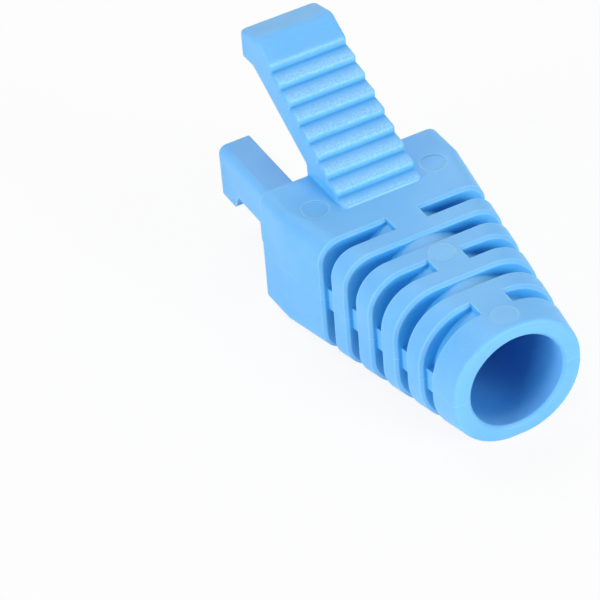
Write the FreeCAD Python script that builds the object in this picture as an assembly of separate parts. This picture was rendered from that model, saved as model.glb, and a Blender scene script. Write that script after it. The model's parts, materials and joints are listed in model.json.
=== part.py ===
"""Strain relief boot for an 8-way modular plug: one moulded piece of soft plastic.

The boot slides over a round cable. Two arms grip the sides of the plug, a ribbed
lever presses the plug's latch, and slots let the tapered tail bend with the cable.

Millimetres. +X points to the plug, +Z is the lever's side, +Y is to the left when
looking along +X. The origin is on the cable bore's axis, in the front face.
"""
import math
import os

import FreeCAD
import Part

V = FreeCAD.Vector

# Body: a straight front block, then a tail that narrows and rounds towards the cable
BODY_LENGTH = 21.75
BLOCK_LENGTH = 2.95
BODY_WIDTH = 13.9
BODY_CORNER = 0.85
TAIL_CORNER = 4.5
TAIL_LIP = 0.35
FRONT_EDGE = 0.2
TAIL_EDGE = 0.3
LEAST_FLAT = 0.05

# Cable bore, and the walls above and below it and beside it at the tail's end
BORE_DIAMETER = 7.0
BORE_RIM = 0.2
BODY_WALL = 1.1
TAIL_WALL = 1.35

# Slots spread from the first one to the collar, which leave rings joined by a sleeve round
# the bore, webs and bridges; the sleeve is the floor of every slot and drops to the rear
SLOT_COUNT = 5
FIRST_SLOT = 7.4
COLLAR_LENGTH = 2.51
SLOT_WIDTH = 1.04
FLOOR_FRONT_DROP = 0.16
FLOOR_REAR_DROP = 0.32
SLOT_EDGE = 0.2
BRIDGE_WIDTH = 2.4
WEB_HEIGHT = 1.7
WEB_RECESS = 0.48

# Arms beside the plug, each with a hook at its tip and a leg under its root
ARM_LENGTH = 8.8
ARM_INNER_TOP = 2.98
ARM_INNER = 3.84
ARM_OUTER = 5.6
ARM_TOP = 2.56
ARM_SLANT_END = 0.78
ARM_UNDERSIDE = -0.27
ARM_TOP_EDGE = 0.6
ARM_INNER_EDGE = 0.2
ARM_TOE_IN = 1.5
ARM_DROOP = 1.0
HOOK_START = 6.3
HOOK_FACE = 6.85
HOOK_BOTTOM = -1.42
HOOK_EDGE = 0.15
LEG_LENGTH = 2.95
LEG_BOTTOM = -1.9

# Latch lever, with a small tab under each side of its tip; a rise is over the body's top
LEVER_ROOT_WIDTH = 6.24
LEVER_TIP_WIDTH = 6.04
LEVER_TIP = 8.85
LEVER_TIP_RISE = 6.75
LEVER_KNEE = 6.47
LEVER_KNEE_RISE = 7.3
LEVER_KNEE_BEND = 0.8
LEVER_FRONT_BEND = 0.3
LEVER_FRONT_RISE = 0.82
LEVER_UNDER_SLOPE = 29.9
LEVER_HEEL = -4.95
LEVER_SLOPE = 31.6
LEVER_EDGE = 0.3
LEVER_CORNER = 0.5
TAB_WIDTH = 1.0
TAB_RISE = 4.82
TAB_EDGE = 0.15

# Finger ribs on the lever, like stair treads
RIB_COUNT = 8
RIB_PITCH = 1.43
RIB_DEPTH = 0.45
RIB_NOSE = 0.3
FIRST_RIB = 4.6

# Round marks left by the mould's ejector pins: sunk in block and arms, proud on the tail
PIN_RADIUS = 0.92
PIN_DEPTH = 0.05
PIN_RISE = 0.03
PIN_BLOCK_X = -3.72
PIN_BLOCK_INSET = 2.37
PIN_RING_SLOT = 2
PIN_RING_AHEAD = 0.3
PIN_COLLAR_INSET = 1.39
PIN_ARM_X = 5.7
PIN_ARM_Y = 4.35

# How far a cutter or a root runs into or past the surface that it meets
OVERLAP = 1.0

BORE_RADIUS = BORE_DIAMETER / 2
HALF_WIDTH = BODY_WIDTH / 2
HALF_HEIGHT = BORE_RADIUS + BODY_WALL
TAIL_HALF_WIDTH = BORE_RADIUS + TAIL_WALL
TAIL_END = TAIL_LIP - BODY_LENGTH
SLOT_PITCH = (BODY_LENGTH - COLLAR_LENGTH - SLOT_WIDTH - FIRST_SLOT) / (SLOT_COUNT - 1)
REACH = max(HALF_WIDTH, HALF_HEIGHT) + OVERLAP
LEVER_TIP_TOP = HALF_HEIGHT + LEVER_TIP_RISE
LEVER_KNEE_TOP = HALF_HEIGHT + LEVER_KNEE_RISE
LEVER_FRONT_TOP = HALF_HEIGHT + LEVER_FRONT_RISE
TAB_BOTTOM = HALF_HEIGHT + TAB_RISE
LEVER_GRADE = math.tan(math.radians(LEVER_SLOPE))
UNDER_GRADE = math.tan(math.radians(LEVER_UNDER_SLOPE))


def side_point(u, v):
    """A point of a side view, in the XZ plane."""
    return V(u, 0, v)


def plan_point(u, v):
    """A point of a plan view, in the XY plane."""
    return V(u, v, 0)


def section_point(u, v):
    """A point of a cross-section, in the YZ plane."""
    return V(0, u, v)


def rounded_wire(corners, place):
    """Closed wire through (u, v, radius) corners, each rounded with its own radius."""
    points = [place(u, v) for u, v, radius in corners]
    count = len(points)
    starts = []
    middles = []
    ends = []
    for i in range(count):
        radius = corners[i][2]
        back = (points[i - 1] - points[i]).normalize()
        ahead = (points[(i + 1) % count] - points[i]).normalize()
        half_angle = back.getAngle(ahead) / 2
        reach = radius / math.tan(half_angle)
        dip = radius / math.sin(half_angle) - radius
        starts.append(points[i] + back * reach)
        middles.append(points[i] + (back + ahead).normalize() * dip)
        ends.append(points[i] + ahead * reach)
    edges = []
    for i in range(count):
        if corners[i][2] > 0:
            edges.append(Part.Arc(starts[i], middles[i], ends[i]).toShape())
        edges.append(Part.makeLine(ends[i], starts[(i + 1) % count]))
    return Part.Wire(edges)


def prism(corners, place, start, sweep):
    """Solid made by moving a rounded outline to start and sweeping it along sweep."""
    face = Part.Face(rounded_wire(corners, place))
    face.translate(start)
    return face.extrude(sweep)


def across(corners, half_width):
    """Side view swept across the part, to half_width on both sides."""
    return prism(corners, side_point, V(0, -half_width, 0), V(0, 2 * half_width, 0))


def slab(front, rear, half_width):
    """Tall box between two cross-sections, to half_width on both sides."""
    low = V(rear, -half_width, -REACH)
    return Part.makeBox(front - rear, 2 * half_width, 2 * REACH, low)


def edges_at(shape, x):
    """Edges of a shape that lie wholly in one cross-section."""
    found = []
    for edge in shape.Edges:
        box = edge.BoundBox
        if abs(box.XMin - x) < 1e-4 and abs(box.XMax - x) < 1e-4:
            found.append(edge)
    return found


def body_outline(half, corner, x):
    """Cross-section of the body at one station, with corners that leave flats between them."""
    corner = min(corner, half - LEAST_FLAT, HALF_HEIGHT - LEAST_FLAT)
    wire = rounded_wire([
        (half, HALF_HEIGHT, corner),
        (-half, HALF_HEIGHT, corner),
        (-half, -HALF_HEIGHT, corner),
        (half, -HALF_HEIGHT, corner),
    ], section_point)
    wire.translate(V(x, 0, 0))
    return wire


def body_blank():
    """Solid block, tapered tail and its short straight lip, before the slots and the bore."""
    shoulder = body_outline(HALF_WIDTH, BODY_CORNER, -BLOCK_LENGTH)
    narrow = body_outline(TAIL_HALF_WIDTH, TAIL_CORNER, TAIL_END)
    block = Part.Face(shoulder).extrude(V(BLOCK_LENGTH, 0, 0))
    tail = Part.makeLoft([shoulder, narrow], True, True)
    lip = Part.Face(narrow).extrude(V(-TAIL_LIP, 0, 0))
    return block.fuse([tail, lip])


def half_width_at(x):
    """Half width of the body at one station of the tail."""
    share = (x + BLOCK_LENGTH) / (TAIL_END + BLOCK_LENGTH)
    return HALF_WIDTH + share * (TAIL_HALF_WIDTH - HALF_WIDTH)


def slot_fronts():
    """Station of each slot's front face."""
    return [-FIRST_SLOT - i * SLOT_PITCH for i in range(SLOT_COUNT)]


def make_rings(blank):
    """Block, rings and collar: the blank sliced at the slots, each slice with soft edges."""
    starts = [0] + [front - SLOT_WIDTH for front in slot_fronts()]
    stops = slot_fronts() + [-BODY_LENGTH]
    rings = []
    for start, stop in zip(starts, stops):
        ring = blank.common(slab(start, stop, REACH))
        front_edge = FRONT_EDGE if start == 0 else SLOT_EDGE
        ring = ring.makeChamfer(front_edge, edges_at(ring, start))
        if stop == -BODY_LENGTH:
            ring = ring.makeFillet(TAIL_EDGE, edges_at(ring, stop))
        else:
            ring = ring.makeChamfer(SLOT_EDGE, edges_at(ring, stop))
        rings.append(ring)
    return rings


def make_bridges(blank):
    """Full-height bridges over the middle of every other slot, top and bottom."""
    bridges = []
    for front in slot_fronts()[::2]:
        span = slab(front + SLOT_EDGE, front - SLOT_WIDTH - SLOT_EDGE, BRIDGE_WIDTH / 2)
        bridges.append(blank.common(span))
    return bridges


def make_core():
    """Tapered sleeve round the bore, and low webs set back from both sides of the tail."""
    front = slot_fronts()[0] + OVERLAP
    rear = slot_fronts()[-1] - SLOT_WIDTH - OVERLAP
    front_radius = HALF_HEIGHT - FLOOR_FRONT_DROP
    rear_radius = HALF_HEIGHT - FLOOR_REAR_DROP
    sleeve = Part.makeCone(rear_radius, front_radius, front - rear, V(rear, 0, 0), V(1, 0, 0))
    front_half = half_width_at(front) - WEB_RECESS
    rear_half = half_width_at(rear) - WEB_RECESS
    webs = prism([
        (front, front_half, 0),
        (front, -front_half, 0),
        (rear, -rear_half, 0),
        (rear, rear_half, 0),
    ], plan_point, V(0, 0, -WEB_HEIGHT / 2), V(0, 0, WEB_HEIGHT))
    return [sleeve, webs]


def make_arm(side):
    """Arm, hook and leg on one side: a section swept forward, cut to the side view, tilted."""
    corners = [
        (side * ARM_INNER_TOP, ARM_TOP, ARM_INNER_EDGE),
        (side * ARM_OUTER, ARM_TOP, ARM_TOP_EDGE),
        (side * ARM_OUTER, -HALF_HEIGHT, 0),
        (side * ARM_INNER, -HALF_HEIGHT, 0),
        (side * ARM_INNER, ARM_SLANT_END, 0),
    ]
    reach = ARM_LENGTH + 3 * OVERLAP
    arm = prism(corners, section_point, V(-2 * OVERLAP, 0, 0), V(reach, 0, 0))
    arm.rotate(V(0, side * ARM_OUTER, 0), V(0, 0, 1), -side * ARM_TOE_IN)
    view = across([
        (-OVERLAP, ARM_TOP + OVERLAP, 0),
        (ARM_LENGTH, ARM_TOP + OVERLAP, 0),
        (ARM_LENGTH, HOOK_BOTTOM, HOOK_EDGE),
        (HOOK_FACE, HOOK_BOTTOM, HOOK_EDGE),
        (HOOK_START, ARM_UNDERSIDE, 0),
        (LEG_LENGTH, ARM_UNDERSIDE, 0),
        (LEG_LENGTH, LEG_BOTTOM, HOOK_EDGE),
        (-OVERLAP, LEG_BOTTOM, 0),
    ], REACH)
    arm = arm.common(view)
    arm.rotate(V(0, 0, 0), V(0, 1, 0), ARM_DROOP)
    return arm


def nose_height(x):
    """Height of the lever's sloping upper plane, which the rib noses touch."""
    return LEVER_KNEE_TOP + (x - LEVER_KNEE) * LEVER_GRADE


def underside_height(x):
    """Height of the lever's sloping underside."""
    return LEVER_FRONT_TOP + x * UNDER_GRADE


def space_above():
    """Everything above the lever: flat tip, bend, then the risers, noses and treads of the ribs."""
    ahead = LEVER_TIP + OVERLAP
    behind = LEVER_HEEL - OVERLAP
    sky = LEVER_KNEE_TOP + OVERLAP
    tip_grade = (LEVER_TIP_TOP - LEVER_KNEE_TOP) / (LEVER_TIP - LEVER_KNEE)
    run = RIB_PITCH * math.cos(math.radians(LEVER_SLOPE))
    depth = RIB_DEPTH / math.cos(math.radians(LEVER_SLOPE))
    stair = [
        (ahead, sky, 0),
        (ahead, LEVER_TIP_TOP + OVERLAP * tip_grade, 0),
        (LEVER_KNEE, LEVER_KNEE_TOP, LEVER_KNEE_BEND),
    ]
    for i in range(RIB_COUNT):
        x = FIRST_RIB - i * run
        stair.append((x, nose_height(x), RIB_NOSE))
        stair.append((x, nose_height(x) - depth, 0))
    heel = FIRST_RIB - RIB_COUNT * run
    stair.append((heel, nose_height(heel), 0))
    stair.append((behind, nose_height(behind), 0))
    stair.append((behind, sky, 0))
    return across(stair, LEVER_ROOT_WIDTH)


def shared_edges(shape, first, second):
    """Edges of a shape that lie in the skins of two other solids."""
    found = []
    for edge in shape.Edges:
        middle = Part.Vertex(edge.valueAt((edge.FirstParameter + edge.LastParameter) / 2))
        gaps = [middle.distToShape(solid.Shells[0])[0] for solid in (first, second)]
        if max(gaps) < 1e-4:
            found.append(edge)
    return found


def make_lever():
    """Lever: side view cut to its plan and its ribs, tabs under the tip, soft upper edges."""
    bar = across([
        (0, HALF_HEIGHT - OVERLAP, 0),
        (0, LEVER_FRONT_TOP, LEVER_FRONT_BEND),
        (LEVER_TIP, underside_height(LEVER_TIP), 0),
        (LEVER_TIP, LEVER_KNEE_TOP, 0),
        (LEVER_HEEL, LEVER_KNEE_TOP, 0),
        (LEVER_HEEL, HALF_HEIGHT - OVERLAP, 0),
    ], LEVER_ROOT_WIDTH)
    tab_start = (TAB_BOTTOM - LEVER_FRONT_TOP) / UNDER_GRADE
    tabs = across([
        (tab_start, TAB_BOTTOM, 0),
        (LEVER_TIP, TAB_BOTTOM, TAB_EDGE),
        (LEVER_TIP, underside_height(LEVER_TIP), 0),
    ], LEVER_ROOT_WIDTH)
    channel = slab(LEVER_TIP, tab_start, LEVER_TIP_WIDTH / 2 - TAB_WIDTH)
    channel.translate(V(0, 0, LEVER_TIP_TOP))
    root = LEVER_ROOT_WIDTH / 2
    tip = LEVER_TIP_WIDTH / 2
    plan = prism([
        (LEVER_HEEL, root, LEVER_CORNER),
        (LEVER_TIP, tip, LEVER_CORNER),
        (LEVER_TIP, -tip, LEVER_CORNER),
        (LEVER_HEEL, -root, LEVER_CORNER),
    ], plan_point, V(0, 0, 0), V(0, 0, LEVER_TIP_TOP + REACH))
    above = space_above()
    lever = bar.fuse(tabs.cut(channel)).common(plan).cut(above)
    return lever.makeFillet(LEVER_EDGE, shared_edges(lever, plan, above))


def pin_disc(x, y, z, height):
    """Upright disc for one ejector pin mark, which starts at z."""
    return Part.makeCylinder(PIN_RADIUS, height, V(x, y, z))


def sunk_marks():
    """Cutters for the shallow pin marks in the upper faces of block and arms."""
    block_y = HALF_WIDTH - PIN_BLOCK_INSET
    marks = []
    for side in (1, -1):
        marks.append(pin_disc(PIN_BLOCK_X, side * block_y, HALF_HEIGHT - PIN_DEPTH, OVERLAP))
        marks.append(pin_disc(PIN_ARM_X, side * PIN_ARM_Y, ARM_TOP - PIN_DEPTH, OVERLAP))
    return marks


def proud_marks():
    """Low pin marks on top of the middle ring and the collar."""
    foot = HALF_HEIGHT - PIN_DEPTH
    stations = (slot_fronts()[PIN_RING_SLOT] + PIN_RING_AHEAD, PIN_COLLAR_INSET - BODY_LENGTH)
    return [pin_disc(x, 0, foot, PIN_DEPTH + PIN_RISE) for x in stations]


def make_boot():
    """The whole moulding, with the bore through it."""
    blank = body_blank()
    rings = make_rings(blank)
    boot = rings[0].fuse(rings[1:] + make_bridges(blank) + make_core())
    boot = boot.fuse(proud_marks())
    boot = boot.fuse([make_lever(), make_arm(1), make_arm(-1)]).removeSplitter()
    bore = Part.makeCylinder(BORE_RADIUS, BODY_LENGTH + 2 * OVERLAP, V(OVERLAP, 0, 0), V(-1, 0, 0))
    boot = boot.cut(sunk_marks() + [bore])
    rims = []
    for x in (0, -BODY_LENGTH):
        for edge in edges_at(boot, x):
            if edge.BoundBox.YLength < BORE_DIAMETER + 1e-3 and edge.BoundBox.ZLength > BORE_DIAMETER - 1e-3:
                rims.append(edge)
    return boot.makeChamfer(BORE_RIM, rims)


boot = make_boot()
os.makedirs("parts", exist_ok=True)
boot.exportStep("parts/boot.step")
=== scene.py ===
"""Looks of the strain relief boot: one moulding of soft light blue plastic on a white table.

Sizes and places on the boot are in millimetres, in its own frame, and the rest in metres.
A fade is a pair: the value where a mask is 0, and then the value where it is 1.
"""
import json
import math

import bpy
from mathutils import Matrix, Vector


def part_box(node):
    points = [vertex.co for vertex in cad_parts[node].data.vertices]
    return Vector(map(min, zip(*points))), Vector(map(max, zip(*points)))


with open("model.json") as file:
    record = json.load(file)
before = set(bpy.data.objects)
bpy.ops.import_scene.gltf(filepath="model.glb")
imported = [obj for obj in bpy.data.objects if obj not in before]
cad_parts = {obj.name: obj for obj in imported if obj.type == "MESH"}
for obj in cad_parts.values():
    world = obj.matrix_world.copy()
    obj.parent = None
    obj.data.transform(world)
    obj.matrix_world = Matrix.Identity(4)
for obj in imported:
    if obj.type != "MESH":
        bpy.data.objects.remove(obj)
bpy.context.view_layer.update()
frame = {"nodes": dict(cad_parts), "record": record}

MM = 0.001
boot = frame["nodes"]["boot"]
low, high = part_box("boot")

# Camera: its angles in degrees, its distance from the point it looks at, and its focal
# length in millimetres
CAMERA_AZIMUTH = 153.75
CAMERA_ELEVATION = 38.49
CAMERA_ROLL = -4.87
CAMERA_DISTANCE = 273.7 * MM
CAMERA_AIM = Vector((-1.41, 5.15, -4.45)) * MM
CAMERA_LENS = 240.0
CAMERA_NEAR = 10 * MM

# Table and surround: the light that they give, and the white that camera and gloss see;
# the share of the table that isn't that white keeps the boot's shadow
FLOOR_RADIUS = 1.5
FLOOR_SIDES = 64
FLOOR_SEEN = 1.0
FLOOR_SEEN_SHARE = 0.9
WORLD_LIGHT = 0.3
WORLD_SEEN = 1.0
# Softboxes: name, azimuth and elevation in degrees, power in watts and size in metres
SOFTBOXES = (
    ("side", 109, 13, 0.95, 0.16),
    ("tail", 206, 18, 1.04, 0.16),
    ("top", 10, 60, 0.46, 0.2),
    ("fill", -28, 26, 0.23, 0.2),
)
SOFTBOX_DISTANCE = 0.4

# Colours, as linear light; a tint multiplies the colour that it lies on, and the three tints are
# painted shade
PLASTIC = (0.143, 0.474, 0.88)
# The pale colour gives clouds, the parting line and the heel line, and painted highlights on rib
# crests, edges and pin mark rims
PLASTIC_PALE = (0.36, 0.69, 0.96)
SHELTER_SHADE_TINT = (0.4, 0.97, 0.99)
RECESS_SHADE_TINT = (0.35, 0.62, 0.8)
BORE_SHADE_TINT = (0.42, 0.68, 0.83)
FLOOR_WHITE = (0.9, 0.9, 0.9)
WHITE = (1.0, 1.0, 1.0)

# Plastic: its gloss, the share of light that enters its skin, and how far each colour spreads
ROUGHNESS = 0.5
IOR = 1.5
SKIN_SHARE = 0.5
SKIN_DEPTH = 0.5
SKIN_SPREAD = (0.25, 0.7, 1.0)

# Grain all over, coarser grain on the ribs, and slow clouding of the colour
GRAIN_SIZE = 0.12
GRAIN_DETAIL = 3.0
GRAIN_DEPTH = 0.02
RIB_GRAIN_SIZE = 0.15
RIB_GRAIN_DETAIL = 4.0
RIB_GRAIN_DEPTH = 0.02
CLOUD_SIZE = 6.0
CLOUD_DETAIL = 2.0
CLOUD_FADE = (0.35, 0.65)
CLOUD_PALE = 0.12

# Places on the boot: its block is as high above the bore as below, and the lever's upper
# plane slopes down from its knee to its heel
mounts = {mount["name"]: mount for mount in frame["record"]["mounts"]}
BORE_RADIUS = mounts["cable_bore"]["dims"]["r_mm"]
BORE_MOUTH = low.x / MM
BLOCK_TOP = -low.z / MM
LEVER_SLOPE = math.radians(31.6)
LEVER_KNEE_X = 6.47
LEVER_KNEE_Z = 11.9
LEVER_HEEL = -4.95

# Ribs, by depth under the lever's upper plane, by place, and by the way that a face looks; a painted
# highlight lies on their crests and rear-facing risers, and painted shade at their feet
RIB_BAND_FADE = (0.75, 0.5)
RIB_FRONT_FADE = (5.0, 4.4)
RIB_REAR_FADE = (-5.0, -4.7)
LEVER_FADE = (BLOCK_TOP, BLOCK_TOP + 0.04)
SIDE_FACE_FADE = (0.8, 0.3)
REAR_FACE_FADE = (-0.35, -0.75)
RISER_FADE = (0.4, 0.05)
RISER_HIGHLIGHT = 0.8
NOSE_FADE = (0.42, 0.1)
FOOT_FADE = (0.37, 0.53)
# Painted shade at the feet of the ribs
FOOT_SHADE = 0.45
FOOT_DEEP_SHADE = 0.9
SPECKLE_FADE = (0.35, 0.7)
SPECKLE_PALE = 0.6
CREST_HIGHLIGHT = 0.3
HEEL_FADE = (0.1, 0.03)
HEEL_PALE = 0.6

# Parting line at mid height, on upright faces only
PARTING_FADE = (0.05, 0)
PARTING_HEIGHT = 0.02
PARTING_PALE = 0.42
UPRIGHT_FADE = (0.5, 0.2)

# Soft edges; they get a painted highlight where the cosine of the soft normal to the true one is low,
# much of the surround is open, and the bore isn't near
EDGE_RADIUS = 0.18
EDGE_SAMPLES = 6
TURN_FADE = (0.99, 0.93)
OPEN_FADE = (0.7, 0.88)
RIM_FADE = (BORE_RADIUS + 0.25, BORE_RADIUS + 0.4)
EDGE_HIGHLIGHT_PALE = 0.8

# Ejector pin marks on upper faces: radius, and the X and Y of those on one half of the boot
PIN_RADIUS = 0.92
PIN_MARKS = ((-3.72, 4.58), (-12.5, 0.0), (-20.36, 0.0))
# Painted highlight round the rims of the pin marks; the middle marks' discs are paler
PIN_RIM_FADE = (0.13, 0.02)
PIN_RIM_HIGHLIGHT = 0.3
PIN_DISC_FADE = (PIN_RADIUS, 0.8)
PIN_DISC_PALE = 0.12
UPWARD_FADE = (0.5, 0.8)
UPPER_HALF_FADE = (1, 2)

# Painted shade: darker colour where little of the surround is open, in two steps, and on the bore's
# wall
RECESS_REACH = 2.0
RECESS_SAMPLES = 8
SHELTER_FADE = (0.8, 0.4)
RECESS_FADE = (0.58, 0.12)
BORE_WALL_FADE = (BORE_RADIUS + 0.15, BORE_RADIUS + 0.02)
BORE_DEPTH_FADE = (BORE_MOUTH + 0.2, BORE_MOUTH + 2)


class Nodes:
    """Short way to make and link the nodes of one tree."""

    def __init__(self, tree):
        self.tree = tree
        tree.nodes.clear()

    def add(self, kind, inputs=None, **settings):
        """New node with its settings, and values or sockets for its inputs."""
        node = self.tree.nodes.new(kind)
        for name, value in settings.items():
            setattr(node, name, value)
        for name, value in (inputs or {}).items():
            if isinstance(value, bpy.types.NodeSocket):
                self.tree.links.new(value, node.inputs[name])
            else:
                node.inputs[name].default_value = value
        return node

    def math(self, operation, *values):
        """Result of a math node."""
        return self.add("ShaderNodeMath", dict(enumerate(values)), operation=operation).outputs[0]

    def product(self, value, *others):
        """Product of two or more values."""
        for other in others:
            value = self.math("MULTIPLY", value, other)
        return value

    def distance(self, value, place):
        """How far a value is from a place, either way."""
        return self.math("ABSOLUTE", self.math("SUBTRACT", value, place))

    def fade(self, value, ends):
        """0 at the first end and 1 at the second, with a smooth step between them."""
        step = self.add("ShaderNodeMapRange", {
            "Value": value, "From Min": ends[0], "From Max": ends[1],
        }, interpolation_type="SMOOTHSTEP")
        return step.outputs["Result"]

    def vector_math(self, operation, *values):
        """Node that works on whole vectors."""
        return self.add("ShaderNodeVectorMath", dict(enumerate(values)), operation=operation)

    def axes(self, vector):
        """The X, Y and Z of a vector."""
        outputs = self.add("ShaderNodeSeparateXYZ", {0: vector}).outputs
        return outputs["X"], outputs["Y"], outputs["Z"]

    def mix(self, share, first, second, blend="MIX"):
        """Colour from the first to the second; 6 and 7 are a mix node's colour inputs."""
        node = self.add("ShaderNodeMix", {0: share, 6: first, 7: second},
                        data_type="RGBA", blend_type=blend)
        return node.outputs[2]


class Skin(Nodes):
    """Nodes of the boot's plastic, with the places, directions and masks that it shares."""

    def __init__(self, tree):
        super().__init__(tree)
        metres = self.add("ShaderNodeTexCoord").outputs["Object"]
        self.place = self.vector_math("MULTIPLY", metres, (1 / MM, 1 / MM, 1 / MM)).outputs[0]
        self.x, self.y, self.z = self.axes(self.place)
        self.normal = self.add("ShaderNodeNewGeometry").outputs["True Normal"]
        self.looks_x, self.looks_y, self.looks_z = self.axes(self.normal)
        square = self.math("ADD", self.product(self.y, self.y), self.product(self.z, self.z))
        self.radius = self.math("SQRT", square)
        self.lever = self.fade(self.z, LEVER_FADE)
        self.soft_normal = self.add("ShaderNodeBevel", {
            "Radius": EDGE_RADIUS * MM,
        }, samples=EDGE_SAMPLES).outputs["Normal"]
        self.openness = self.add("ShaderNodeAmbientOcclusion", {
            "Distance": RECESS_REACH * MM,
        }, samples=RECESS_SAMPLES, only_local=True).outputs["AO"]

    def noise(self, size, detail):
        """Noise with features of one size."""
        node = self.add("ShaderNodeTexNoise", {
            "Vector": self.place, "Scale": 1 / size, "Detail": detail,
        })
        return node.outputs["Fac"]


def rib_masks(skin):
    """The ribbed band of the lever, a painted highlight on the crests and risers of its ribs, and
    painted shade at their feet.
    """
    along = skin.math("SUBTRACT", skin.x, LEVER_KNEE_X)
    plane = skin.math("MULTIPLY_ADD", along, math.tan(LEVER_SLOPE), LEVER_KNEE_Z)
    depth = skin.math("SUBTRACT", plane, skin.z)
    ribs = skin.product(
        skin.lever,
        skin.fade(depth, RIB_BAND_FADE),
        skin.fade(skin.x, RIB_FRONT_FADE),
        skin.fade(skin.x, RIB_REAR_FADE),
        skin.fade(skin.math("ABSOLUTE", skin.looks_y), SIDE_FACE_FADE),
    )
    rear_face = skin.fade(skin.looks_x, REAR_FACE_FADE)
    # painted highlight on the rear-facing risers and the noses of the ribs, speckled with the rib grain
    # in the colour
    riser_highlight = skin.product(rear_face, skin.fade(depth, RISER_FADE), RISER_HIGHLIGHT)
    nose_highlight = skin.product(skin.fade(depth, NOSE_FADE), skin.math("SUBTRACT", 1.0, riser_highlight))
    crest_highlight = skin.product(ribs, skin.math("MAXIMUM", nose_highlight, riser_highlight))
    # painted shade at the feet of the ribs
    foot_shade = skin.product(ribs, skin.fade(depth, FOOT_FADE), FOOT_SHADE)
    return ribs, crest_highlight, foot_shade


def heel_mask(skin):
    """Thin line along the lever's heel, where it meets the block."""
    return skin.product(skin.lever, skin.fade(skin.distance(skin.x, LEVER_HEEL), HEEL_FADE))


def parting_mask(skin):
    """The mould's parting line round the boot."""
    upright = skin.fade(skin.math("ABSOLUTE", skin.looks_z), UPRIGHT_FADE)
    return skin.product(skin.fade(skin.math("ABSOLUTE", skin.z), PARTING_FADE), upright)


def edge_highlight_mask(skin):
    """Painted highlight on outer edges, but not on the rim of the bore."""
    turn = skin.vector_math("DOT_PRODUCT", skin.soft_normal, skin.normal).outputs["Value"]
    return skin.product(
        skin.fade(turn, TURN_FADE),
        skin.fade(skin.openness, OPEN_FADE),
        skin.fade(skin.radius, RIM_FADE),
    )


def pin_rim_highlight_and_disc_pale(skin):
    """Painted highlight on the rims of the ejector pin marks, mirrored; those in the middle are also
    pale all over.
    """
    half = skin.math("ABSOLUTE", skin.y)
    total = 0.0
    for mark_x, mark_y in PIN_MARKS:
        offset = skin.add("ShaderNodeCombineXYZ", {
            0: skin.math("SUBTRACT", skin.x, mark_x),
            1: skin.math("SUBTRACT", half, mark_y),
        }).outputs[0]
        from_centre = skin.vector_math("LENGTH", offset).outputs["Value"]
        rim = skin.fade(skin.distance(from_centre, PIN_RADIUS), PIN_RIM_FADE)
        pale = skin.product(rim, PIN_RIM_HIGHLIGHT)
        if mark_y == 0:
            disc = skin.product(skin.fade(from_centre, PIN_DISC_FADE), PIN_DISC_PALE)
            pale = skin.math("MAXIMUM", pale, disc)
        total = skin.math("ADD", total, pale)
    return skin.product(total, skin.fade(skin.looks_z, UPWARD_FADE), skin.fade(skin.z, UPPER_HALF_FADE))


def surface_normal(skin, ribs, rib_grain, parting):
    """Soft edges, with the grain and the parting line on top; their heights are in metres."""
    height = skin.product(skin.noise(GRAIN_SIZE, GRAIN_DETAIL), GRAIN_DEPTH * MM)
    height = skin.math("ADD", height, skin.product(rib_grain, ribs, RIB_GRAIN_DEPTH * MM))
    height = skin.math("ADD", height, skin.product(parting, PARTING_HEIGHT * MM))
    bump = skin.add("ShaderNodeBump", {
        "Strength": 1.0, "Distance": 1.0, "Height": height, "Normal": skin.soft_normal,
    })
    return bump.outputs["Normal"]


def skin_colour(skin, crest_highlight, rib_grain, parting):
    """Blue, and paler in clouds, along the mould's parting line, along the lever's heel and on the
    middle pin marks' discs; with painted highlights, speckled, on the rib crests, and on outer edges
    and pin mark rims.
    """
    cloud = skin.fade(skin.noise(CLOUD_SIZE, CLOUD_DETAIL), CLOUD_FADE)
    speckle = skin.math("MULTIPLY_ADD", skin.fade(rib_grain, SPECKLE_FADE), SPECKLE_PALE, CREST_HIGHLIGHT)
    pale = skin.product(cloud, CLOUD_PALE)
    for layer in (
        skin.product(speckle, crest_highlight),
        skin.product(parting, PARTING_PALE),
        skin.product(heel_mask(skin), HEEL_PALE),
        # painted highlight on outer edges
        skin.product(edge_highlight_mask(skin), EDGE_HIGHLIGHT_PALE),
        pin_rim_highlight_and_disc_pale(skin),
    ):
        pale = skin.math("ADD", pale, layer)
    return skin.mix(pale, (*PLASTIC, 1), (*PLASTIC_PALE, 1))


def with_painted_shade(skin, colour, foot_shade):
    """The colour with painted shade: darker in slots and corners, at the feet of the ribs and down the
    bore.
    """
    shelter_shade = skin.math("MAXIMUM", skin.fade(skin.openness, SHELTER_FADE), foot_shade)
    recess_shade = skin.fade(skin.openness, RECESS_FADE)
    recess_shade = skin.math("MAXIMUM", recess_shade, skin.product(foot_shade, FOOT_DEEP_SHADE))
    bore = skin.product(skin.fade(skin.radius, BORE_WALL_FADE), skin.fade(skin.x, BORE_DEPTH_FADE))
    # painted shade in sheltered places, in recesses and down the bore
    for share, tint in ((shelter_shade, SHELTER_SHADE_TINT), (recess_shade, RECESS_SHADE_TINT), (bore, BORE_SHADE_TINT)):
        colour = skin.mix(share, colour, (*tint, 1), blend="MULTIPLY")
    return colour


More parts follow.
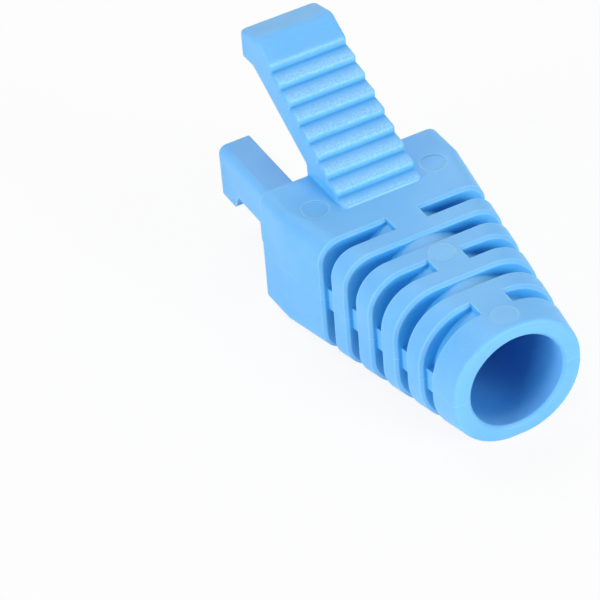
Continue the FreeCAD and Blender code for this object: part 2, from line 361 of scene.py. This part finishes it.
def plastic_material():
    """Soft semi-matte plastic of the whole boot."""
    material = bpy.data.materials.new("boot_plastic")
    material.use_nodes = True
    skin = Skin(material.node_tree)
    ribs, crest_highlight, foot_shade = rib_masks(skin)
    rib_grain = skin.noise(RIB_GRAIN_SIZE, RIB_GRAIN_DETAIL)
    parting = parting_mask(skin)
    colour = skin_colour(skin, crest_highlight, rib_grain, parting)
    surface = skin.add("ShaderNodeBsdfPrincipled", {
        "Base Color": with_painted_shade(skin, colour, foot_shade),
        "Roughness": ROUGHNESS,
        "IOR": IOR,
        "Subsurface Weight": SKIN_SHARE,
        "Subsurface Radius": SKIN_SPREAD,
        "Subsurface Scale": SKIN_DEPTH * MM,
        "Normal": surface_normal(skin, ribs, rib_grain, parting),
    })
    skin.add("ShaderNodeOutputMaterial", {"Surface": surface.outputs[0]})
    return material


def seen_directly(nodes):
    """1 for rays that show the background: camera, glossy and transmission rays."""
    path = nodes.add("ShaderNodeLightPath").outputs
    seen = nodes.math("MAXIMUM", path["Is Camera Ray"], path["Is Glossy Ray"])
    return nodes.math("MAXIMUM", seen, path["Is Transmission Ray"])


def floor_material():
    """White table: seen close to pure white, with the boot's shadow, and clear from below."""
    material = bpy.data.materials.new("floor")
    material.use_nodes = True
    nodes = Nodes(material.node_tree)
    lit = nodes.add("ShaderNodeBsdfDiffuse", {"Color": (*FLOOR_WHITE, 1)})
    glow = nodes.add("ShaderNodeEmission", {"Color": (*WHITE, 1), "Strength": FLOOR_SEEN})
    share = nodes.product(seen_directly(nodes), FLOOR_SEEN_SHARE)
    seen = nodes.add("ShaderNodeMixShader", {0: share, 1: lit.outputs[0], 2: glow.outputs[0]})
    clear = nodes.add("ShaderNodeBsdfTransparent")
    below = nodes.add("ShaderNodeNewGeometry").outputs["Backfacing"]
    both = nodes.add("ShaderNodeMixShader", {0: below, 1: seen.outputs[0], 2: clear.outputs[0]})
    nodes.add("ShaderNodeOutputMaterial", {"Surface": both.outputs[0]})
    return material


def make_floor():
    """Flat round table under the boot."""
    bpy.ops.mesh.primitive_circle_add(vertices=FLOOR_SIDES, radius=FLOOR_RADIUS, fill_type="NGON",
                                      location=(0, 0, low.z))
    floor = bpy.context.object
    floor.name = "floor"
    floor.data.materials.append(floor_material())


def make_world():
    """Even surround: dim as a light, and white where it is seen."""
    world = bpy.data.worlds.new("surround")
    bpy.context.scene.world = world
    world.use_nodes = True
    nodes = Nodes(world.node_tree)
    dim = nodes.add("ShaderNodeBackground", {"Color": (*WHITE, 1), "Strength": WORLD_LIGHT})
    white = nodes.add("ShaderNodeBackground", {"Color": (*WHITE, 1), "Strength": WORLD_SEEN})
    mix = nodes.add("ShaderNodeMixShader", {
        0: seen_directly(nodes), 1: dim.outputs[0], 2: white.outputs[0],
    })
    nodes.add("ShaderNodeOutputWorld", {"Surface": mix.outputs[0]})


def direction(azimuth, elevation):
    """Unit vector that points from the boot to an azimuth and elevation in degrees."""
    azimuth, elevation = math.radians(azimuth), math.radians(elevation)
    return Vector((
        math.cos(elevation) * math.cos(azimuth),
        math.cos(elevation) * math.sin(azimuth),
        math.sin(elevation),
    ))


def make_softbox(name, azimuth, elevation, power, size):
    """Square area lamp that looks at the boot from one direction."""
    towards = direction(azimuth, elevation)
    data = bpy.data.lights.new(name, "AREA")
    data.energy = power
    data.size = size
    lamp = bpy.data.objects.new(name, data)
    bpy.context.scene.collection.objects.link(lamp)
    lamp.location = (low + high) / 2 + towards * SOFTBOX_DISTANCE
    lamp.rotation_mode = "QUATERNION"
    lamp.rotation_quaternion = towards.to_track_quat("Z", "Y")
    lamp.visible_camera = False


def make_camera():
    """Camera that looks at the boot from behind its tail, above and to one side."""
    back = direction(CAMERA_AZIMUTH, CAMERA_ELEVATION)
    right = Vector((0, 0, 1)).cross(back).normalized()
    right = Matrix.Rotation(math.radians(CAMERA_ROLL), 3, back) @ right
    up = back.cross(right)
    data = bpy.data.cameras.new("camera")
    data.lens = CAMERA_LENS
    data.clip_start = CAMERA_NEAR
    camera = bpy.data.objects.new("camera", data)
    bpy.context.scene.collection.objects.link(camera)
    camera.location = CAMERA_AIM + back * CAMERA_DISTANCE
    camera.rotation_mode = "QUATERNION"
    camera.rotation_quaternion = Matrix((right, up, back)).transposed().to_quaternion()
    bpy.context.scene.camera = camera


boot.data.materials.clear()
boot.data.materials.append(plastic_material())

make_floor()
make_world()
for softbox in SOFTBOXES:
    make_softbox(*softbox)
make_camera()
bpy.context.scene.view_settings.view_transform = "Standard"
